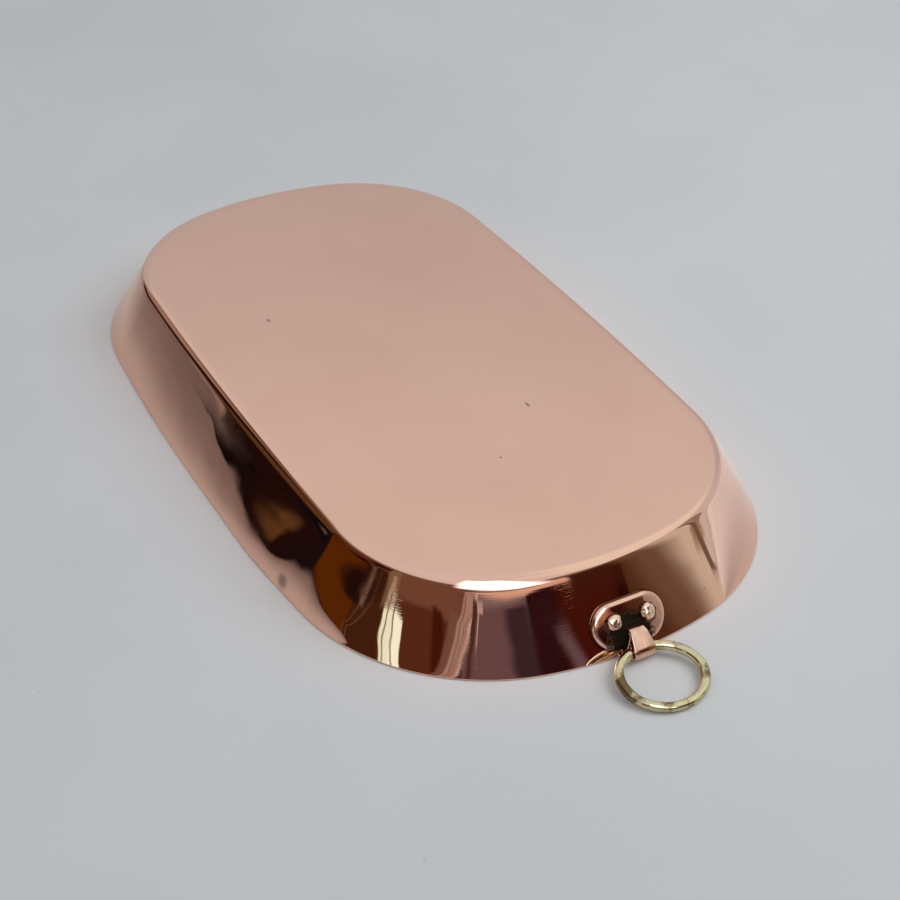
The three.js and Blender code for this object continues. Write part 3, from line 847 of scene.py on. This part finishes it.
def brass_material():
    """Old brass, brown in patches and where the hand doesn't reach."""
    material, tree, shader = new_material("forged_brass")
    place = add(tree, "ShaderNodeTexCoord").outputs["Object"]
    patch = cloud(tree, place, 130.0, 3.0, 0.6)
    grain = cloud(tree, place, 900.0, 3.0, 0.6)
    aged = calc(tree, "ADD", patch, product(tree, grain, 0.25))
    for middle, reach in STAINS:
        near = ramp(tree, nearness(tree, place, middle), 0.3 * reach, reach, 0.2, 0.0)
        aged = calc(tree, "ADD", aged, near)
    stain = ramp(tree, aged, 0.6, 0.82)
    colour = mix(tree, stain, BRASS, BRASS_STAIN)
    roughness = ramp(tree, stain, 0.0, 1.0, 0.12, 0.34)
    finish_metal(tree, shader, colour, roughness, grain, 0.1 * MM, 0.2)
    return material


# Studio

# The pan is all mirror, so it is seen by what stands round it. The far side of the room and what
# is overhead are pale. The side towards the camera is dark, with a few lit things. All places are
# directions from the pan: azimuth in degrees from +X towards +Y, and elevation. Two numbers are
# where a thing starts and where it is full or gone, three are from, to and softness.
PALE_LOW, PALE_HIGH, ZENITH = rgb(0.50, 0.505, 0.51), rgb(0.70, 0.695, 0.66), rgb(0.72, 0.72, 0.71)
PALE_RISES, ZENITH_STARTS = (27.0, 38.0), (60.0, 76.0)
CEILING = rgb(0.84, 0.85, 0.74)
CEILING_AZIMUTH, CEILING_ELEVATION = (24.0, 122.0, 24.0), (37.0, 74.0, 10.0)
SKYLIGHT = rgb(2.0, 2.05, 2.1)
SKYLIGHT_AZIMUTH, SKYLIGHT_ELEVATION = (-42.0, 8.0, 8.0), (25.5, 78.0, 5.0)

# The dark side, its edges, and its foot, which is lower where the sill ends
ROOM_DARK = rgb(0.012, 0.006, 0.006)
ROOM_LEFT, ROOM_RIGHT, ROOM_TOP = (-170.0, -160.0), (95.0, 120.0), (36.0, 48.0)
ROOM_FOOT, FOOT_SHIFT = (-1.0, 0.0), (-1.4, 6.0)
SILL = rgb(0.25, 0.20, 0.175)
SILL_AZIMUTH, SILL_TOP, SILL_ENDS = (-165.0, -130.0, 10.0), (2.0, 4.0), (-141.0, -138.5)
ROOM_HIGH = rgb(0.17, 0.09, 0.055)
ROOM_HIGH_FOOT, ROOM_HIGH_RIGHT = (25.0, 34.0), (30.0, 60.0)
HIGH_WALL = rgb(0.34, 0.245, 0.195)
HIGH_WALL_RIGHT, HIGH_WALL_FOOT = (-149.0, -146.0), (8.0, 18.0)
# The lampshade's edges lean by some degrees between two elevations
LAMPSHADE = rgb(0.10, 0.052, 0.019)
SHADE_AZIMUTH, SHADE_FOOT = (-145.0, -133.2, 1.0), (0.9, 1.5)
SHADE_LEAN, SHADE_LEANS_BETWEEN = 4.5, (3.0, 8.0)

# What diffuse surfaces get, by themselves and by way of the pan, and what the camera sees
PLAIN_LIGHT, BOUNCED_LIGHT = rgb(0.66, 0.66, 0.66), rgb(2.5, 2.3, 2.2)
BACKDROP = rgb(0.50, 0.52, 0.54)

# Things on the dark side. Their height is measured from the line of sight that a flared wall
# gives, which sinks to either side of an azimuth. It is held within a range, so what reaches
# that far goes on up or down, and a limit of 9 is none.
# Name, from and to in azimuth, lean, softness, lowest and highest, colour
SIGHT_AZIMUTH, SIGHT_ELEVATION, SIGHT_SINK = -29, 19.6, 0.002
LOWEST, HIGHEST, HEIGHT_SOFTNESS = -4.0, 5.0, 0.2
NO_LIMIT = 9
ROOM_THINGS = (
    ("red_curtain", -127, -97.5, 0, 0.8, -9, 9, rgb(0.092, 0.027, 0.002)),
    ("curtain_knot", -90.5, -60, -17, 1, 0.5, 9, rgb(0.014, 0.005, 0.004)),
    ("corner_wall", -97.5, -80, 0, 1, -9, 9, rgb(0.055, 0.021, 0.009)),
    ("corner_shade", -98, -84.5, 0.5, 1.5, 0.3, 9, rgb(0.016, 0.006, 0.005)),
    ("corner_pipe", -94.6, -94.0, 2.5, 0.4, 0.35, 9, rgb(0.34, 0.26, 0.19)),
    ("corner_hook", -91.0, -90.4, -3, 0.4, 0.1, 9, rgb(0.30, 0.22, 0.16)),
    ("corner_fold", -93.6, -92.8, 1.5, 0.5, -9, 0.3, rgb(0.12, 0.06, 0.032)),
    ("corner_edge", -88.6, -87.9, 2.0, 0.5, -9, 0.5, rgb(0.14, 0.075, 0.045)),
    ("cupboard", -80, -47, 0, 2, -9, 9, rgb(0.095, 0.032, 0.016)),
    ("window", -81.0, -70.4, -0.6, 0.4, -9, -0.3, rgb(0.90, 1.18, 0.96)),
    ("window_right", -75.4, -70.4, -0.4, 0.4, -9, -0.3, rgb(1.0, 1.32, 1.16)),
    ("glazing_bar", -78.9, -78.3, -0.4, 0.25, -9, -0.2, rgb(0.10, 0.06, 0.03)),
    ("glazing_bar_right", -76.1, -75.4, -0.9, 0.25, -9, -0.2, rgb(0.14, 0.09, 0.05)),
    ("window_shade", -78.4, -60, -8, 0.5, -9, 9, rgb(0.095, 0.032, 0.016)),
    ("cupboard_top", -79, -38, 0, 4, -0.1, 9, rgb(0.165, 0.082, 0.05)),
    ("cupboard_gap", -55, -49, -1, 3, -9, 0.2, rgb(0.055, 0.012, 0.005)),
    ("window_glow", -83, -76, 0, 2, -0.2, 9, rgb(0.20, 0.15, 0.085)),
    ("glow_streak", -80.4, -79.8, 3, 0.3, -0.1, 0.7, rgb(0.85, 0.75, 0.5)),
    ("glow_curl", -77.7, -77.2, -3, 0.3, -0.1, 0.8, rgb(0.65, 0.55, 0.36)),
    ("far_wall", -38, -2, 0, 2.5, -9, 9, rgb(0.14, 0.092, 0.104)),
    ("far_wall_shade", -13, 0, -1, 6, -9, 1.6, rgb(0.045, 0.026, 0.034)),
    ("far_wall_haze", -31, -4, 0, 8, 1.95, 9, rgb(0.22, 0.18, 0.175)),
    ("frame_left", -46, -41, 2.0, 2, -9, 0.8, rgb(0.17, 0.10, 0.078)),
    ("frame_middle", -41.6, -34.4, 2.2, 1.0, -9, 2.2, rgb(0.38, 0.29, 0.24)),
    ("frame_bright", -36.0, -34.4, 2.2, 0.5, -9, 2.3, rgb(0.56, 0.46, 0.41)),
    ("frame_line", -40.2, -39.6, 1.9, 0.4, -9, 1.9, rgb(0.20, 0.11, 0.09)),
    ("frame_line_middle", -37.9, -37.4, 2.3, 0.4, -9, 1.2, rgb(0.24, 0.15, 0.12)),
    ("frame_line_right", -36.5, -36.1, 2.3, 0.4, -9, 2.0, rgb(0.22, 0.13, 0.11)),
    ("frame_gap", -34.0, -31.6, 0.8, 0.6, -9, 2, rgb(0.07, 0.035, 0.027)),
    ("frame_edge", -30.6, -29.9, 0.6, 0.4, -0.9, 1.7, rgb(0.50, 0.40, 0.34)),
    ("frame_hook", -30.0, -26.8, 0, 0.6, 1.6, 2.0, rgb(0.50, 0.42, 0.38)),
    ("dresser", 1, 31, 0, 3, -9, 9, rgb(0.052, 0.008, 0.003)),
    ("dresser_shade", 1, 9, 0, 4, -9, 9, rgb(0.026, 0.007, 0.009)),
    ("dresser_sheen", 8, 12, -2, 3, -9, 0.9, rgb(0.13, 0.095, 0.115)),
    ("doorway", 27.5, 31, 0, 1.5, -9, 9, rgb(0.022, 0.003, 0.002)),
    ("high_beam", -80, -41, 17, 1, 2.3, 9, rgb(0.72, 0.50, 0.38)),
    ("high_beam_end", 14, 40, 0, 2, 2.3, 9, rgb(0.052, 0.014, 0.008)),
    ("passage", 31, 180, 0, 1, -9, 9, rgb(0.075, 0.034, 0.014)),
    ("passage_middle", 40, 180, -2, 10, -9, 9, rgb(0.15, 0.092, 0.056)),
    ("passage_end", 52, 180, -1.6, 13, -9, 9, rgb(0.585, 0.575, 0.48)),
    ("bright_wall", 66.4, 180, -0.6, 1.2, -9, 9, rgb(0.61, 0.61, 0.60)),
    ("wall_shelf", 57, 66, 1.5, 2, 1.3, 9, rgb(0.30, 0.24, 0.155)),
    ("wall_corner", 63.7, 66.9, -0.6, 0.7, -0.9, 9, rgb(0.17, 0.12, 0.08)),
    ("wall_mark", 67.2, 69.4, 0, 0.6, -1.3, -0.6, rgb(0.25, 0.18, 0.12)),
)


def light_by_the_pan(tree, colour):
    """Light that reaches the floor by way of the pan is plain, so the room doesn't stain it."""
    depth = add(tree, "ShaderNodeLightPath").outputs["Diffuse Depth"]
    return mix(tree, calc(tree, "MINIMUM", depth, 1.0), colour, BOUNCED_LIGHT)


def bearing(tree, vector):
    """A vector's azimuth in degrees, and its Z."""
    x, y, z = add(tree, "ShaderNodeSeparateXYZ", {0: vector}).outputs
    return calc(tree, "DEGREES", calc(tree, "ARCTAN2", y, x)), z


def room_colour(tree, azimuth, elevation):
    """What stands on the dark side of the room."""
    aside = calc(tree, "ADD", azimuth, -SIGHT_AZIMUTH)
    sink = product(tree, aside, aside, SIGHT_SINK)
    height = calc(tree, "SUBTRACT", calc(tree, "ADD", elevation, sink), SIGHT_ELEVATION)
    height = calc(tree, "MINIMUM", calc(tree, "MAXIMUM", height, LOWEST), HIGHEST)
    colour = ROOM_DARK
    for _, left, right, lean, softness, low, high, paint in ROOM_THINGS:
        along = azimuth
        if lean:
            along = calc(tree, "ADD", azimuth, product(tree, height, -lean))
        share = between(tree, along, left, right, softness)
        if low > -NO_LIMIT or high < NO_LIMIT:
            share = product(tree, share, between(tree, height, low, high, HEIGHT_SOFTNESS))
        colour = mix(tree, share, colour, paint)

    wall_right = ramp(tree, azimuth, *HIGH_WALL_RIGHT, 1.0, 0.0)
    high_wall = product(tree, wall_right, ramp(tree, elevation, *HIGH_WALL_FOOT))
    colour = mix(tree, high_wall, colour, HIGH_WALL)
    lean = ramp(tree, elevation, *SHADE_LEANS_BETWEEN, 0.0, SHADE_LEAN)
    shade = between(tree, calc(tree, "SUBTRACT", azimuth, lean), *SHADE_AZIMUTH)
    shade = product(tree, ramp(tree, elevation, *SHADE_FOOT), shade)
    colour = mix(tree, shade, colour, LAMPSHADE)
    high_right = ramp(tree, azimuth, *ROOM_HIGH_RIGHT, 1.0, 0.0)
    high_up = product(tree, ramp(tree, elevation, *ROOM_HIGH_FOOT), high_right)
    return mix(tree, high_up, colour, ROOM_HIGH)


def mirrored_room(tree):
    """The whole room in the direction that a ray takes."""
    direction = add(tree, "ShaderNodeTexCoord").outputs["Generated"]
    azimuth, rise = bearing(tree, direction)
    elevation = calc(tree, "DEGREES", calc(tree, "ARCSINE", rise))
    pale = mix(tree, ramp(tree, elevation, *PALE_RISES), PALE_LOW, PALE_HIGH)
    pale = mix(tree, ramp(tree, elevation, *ZENITH_STARTS), pale, ZENITH)
    sill = between(tree, azimuth, *SILL_AZIMUTH)
    sill = product(tree, sill, ramp(tree, elevation, *SILL_TOP, 1.0, 0.0))
    pale = mix(tree, sill, pale, SILL)

    dark_side = product(tree, ramp(tree, azimuth, *ROOM_LEFT),
                        ramp(tree, azimuth, *ROOM_RIGHT, 1.0, 0.0))
    shift = ramp(tree, azimuth, *SILL_ENDS, *FOOT_SHIFT)
    above_foot = ramp(tree, calc(tree, "ADD", elevation, shift), *ROOM_FOOT)
    below_top = ramp(tree, elevation, *ROOM_TOP, 1.0, 0.0)
    in_room = product(tree, below_top, dark_side, above_foot)
    seen = mix(tree, in_room, pale, room_colour(tree, azimuth, elevation))
    ceiling = product(tree, between(tree, azimuth, *CEILING_AZIMUTH),
                      between(tree, elevation, *CEILING_ELEVATION))
    seen = mix(tree, ceiling, seen, CEILING)
    skylight = product(tree, between(tree, azimuth, *SKYLIGHT_AZIMUTH),
                       between(tree, elevation, *SKYLIGHT_ELEVATION))
    return mix(tree, skylight, seen, SKYLIGHT)


def make_world():
    world = bpy.data.worlds.new("studio")
    bpy.context.scene.world = world
    world.use_nodes = True
    tree = world.node_tree
    tree.nodes.clear()
    ray = add(tree, "ShaderNodeLightPath")
    plain = mix(tree, ray.outputs["Is Camera Ray"], PLAIN_LIGHT, BACKDROP)
    mirrored = light_by_the_pan(tree, mirrored_room(tree))
    colour = mix(tree, ray.outputs["Is Glossy Ray"], plain, mirrored)
    background = add(tree, "ShaderNodeBackground", {"Color": colour})
    add(tree, "ShaderNodeOutputWorld", {"Surface": background.outputs[0]})


FLOOR_SIZE, FLOOR_ROUGHNESS = 12, 0.85
FLOOR_LIGHT, FLOOR_DARK = rgb(0.51, 0.535, 0.555), rgb(0.485, 0.51, 0.535)
FLOOR_SPECK, WHITE = rgb(0.25, 0.26, 0.27), rgb(1.0, 1.0, 1.0)

# The floor that the pan mirrors has painted shade and painted light in its colour, which only the
# pan's reflections show. Distances are measured from a round-cornered footprint, a little
# smaller than the pan's: half its sides, less its corners' radius.
FOOTPRINT, FOOTPRINT_CORNER = (0.13, 0.055, 1.0), 0.05
# On the camera's side painted shade darkens it away from the pan, and past where a table's edge
# would be it is painted dark
PAINTED_LIGHT_NEAR, PAINTED_SHADE_FAR, PAINTED_SHADE_FADE = rgb(1.0, 0.94, 0.86), rgb(0.47, 0.37, 0.33), -10.0
CAMERA_SIDE_LEFT, CAMERA_SIDE_RIGHT = (-178.0, -150.0), (20.0, 60.0)
PAINTED_DARK_PAST_EDGE, TABLE_EDGE, EDGE_LEFT = rgb(0.02, 0.01, 0.01), (0.9, 0.96), (-141.0, -136.0)
# On the far side painted light makes it brighter in the middle
PAINTED_LIGHT_BEHIND, BEHIND_AZIMUTH = rgb(1.3, 1.27, 1.2), (40.0, 140.0, 30.0)


def from_footprint(tree, place):
    """Level distance from the pan's footprint."""
    outside = vector_calc(tree, "ABSOLUTE", place)
    outside = vector_calc(tree, "SUBTRACT", outside, FOOTPRINT)
    outside = vector_calc(tree, "MAXIMUM", outside, (0, 0, 0))
    length = vector_calc(tree, "LENGTH", vector_calc(tree, "MULTIPLY", outside, (1, 1, 0)))
    return calc(tree, "SUBTRACT", length, FOOTPRINT_CORNER)


def painted_reflection_tint(tree, place):
    """What the floor's colour is multiplied by where the pan mirrors it: painted shade and painted
    light.
    """
    distance = from_footprint(tree, place)
    azimuth, _ = bearing(tree, place)
    near = calc(tree, "EXPONENT", product(tree, distance, PAINTED_SHADE_FADE))
    towards_camera = mix(tree, near, PAINTED_SHADE_FAR, PAINTED_LIGHT_NEAR)
    past_edge = product(tree, ramp(tree, distance, *TABLE_EDGE), ramp(tree, azimuth, *EDGE_LEFT))
    towards_camera = mix(tree, past_edge, towards_camera, PAINTED_DARK_PAST_EDGE)
    behind = mix(tree, between(tree, azimuth, *BEHIND_AZIMUTH), WHITE, PAINTED_LIGHT_BEHIND)
    camera_side = product(tree, ramp(tree, azimuth, *CAMERA_SIDE_LEFT),
                          ramp(tree, azimuth, *CAMERA_SIDE_RIGHT, 1.0, 0.0))
    return mix(tree, camera_side, behind, towards_camera)


def make_floor():
    bpy.ops.mesh.primitive_plane_add(size=FLOOR_SIZE, location=(0, 0, FLOOR_LEVEL))
    floor = bpy.context.active_object
    floor.name = "floor"
    material, tree, shader = new_material("floor")
    place = add(tree, "ShaderNodeNewGeometry").outputs["Position"]
    plain = mix(tree, ramp(tree, cloud(tree, place, 5.0, 4.0), 0.35, 0.65), FLOOR_LIGHT, FLOOR_DARK)
    speck = ramp(tree, cloud(tree, place, 260.0, 2.0, 0.8), 0.74, 0.78, 0.0, 0.35)
    plain = mix(tree, speck, plain, FLOOR_SPECK)
    # Only the pan's reflections see the painted shade and light on the floor.
    glossy = add(tree, "ShaderNodeLightPath").outputs["Is Glossy Ray"]
    tint = mix(tree, glossy, WHITE, painted_reflection_tint(tree, place))
    inputs = {0: 1.0, 6: plain, 7: tint}
    colour = add(tree, "ShaderNodeMix", inputs, data_type="RGBA", blend_type="MULTIPLY")
    tree.links.new(colour.outputs[2], shader.inputs["Base Color"])
    shader.inputs["Roughness"].default_value = FLOOR_ROUGHNESS
    shader.inputs["Specular IOR Level"].default_value = 0.0
    floor.data.materials.append(material)


# A soft lamp, which the pan doesn't mirror
LAMP_PLACE, LAMP_WIDTH, LAMP_WATTS = (0.6, 1.0, 1.3), 1.2, 15.0


def make_lamp():
    light = bpy.data.lights.new("soft_overhead", "AREA")
    light.shape = "DISK"
    light.size = LAMP_WIDTH
    light.energy = LAMP_WATTS
    lamp = bpy.data.objects.new("soft_overhead", light)
    bpy.context.scene.collection.objects.link(lamp)
    lamp.location = LAMP_PLACE
    lamp.rotation_euler = (Vector((0, 0, 0)) - lamp.location).to_track_quat("-Z", "Y").to_euler()
    lamp.visible_glossy = False


def make_camera():
    a, e = math.radians(CAMERA_AZIMUTH), math.radians(CAMERA_ELEVATION)
    roll = math.radians(CAMERA_ROLL)
    back = Vector((math.sin(a) * math.cos(e), -math.cos(a) * math.cos(e), math.sin(e)))
    right = Vector((math.cos(a), math.sin(a), 0))
    up = back.cross(right)
    turned_right = right * math.cos(roll) + up * math.sin(roll)
    turned_up = up * math.cos(roll) - right * math.sin(roll)
    data = bpy.data.cameras.new("camera")
    data.lens = LENS
    data.sensor_width = SENSOR_WIDTH
    camera = bpy.data.objects.new("camera", data)
    bpy.context.scene.collection.objects.link(camera)
    axes = Matrix((turned_right, turned_up, back)).transposed().to_4x4()
    camera.matrix_world = Matrix.Translation(CAMERA_TARGET + back * CAMERA_DISTANCE) @ axes
    bpy.context.scene.camera = camera


make_camera()
copper = copper_material()
lug_copper = lug_material()
dress(make_pan(), "pan", "copper", copper, "pan_body")
dress(make_tin(), "pan", "tin", tin_material(), "tin_lining")
dress(make_plate(), "pan", "lug_copper", lug_copper, "lug_plate")
dress(make_strap(), "pan", "lug_copper", strap_material(), "ring_strap")
for side, node in ((-1, "rivet_left"), (1, "rivet_right")):
    rivet = make_rivet(node + "_skin", side * RIVET_SPACING / 2, 5 + side)
    dress(rivet, "pan", "lug_copper", lug_copper, node)
dress(make_ring(), "ring", "brass", brass_material(), "hanging_ring")
make_floor()
make_lamp()
make_world()
bpy.context.scene.view_settings.view_transform = "Standard"
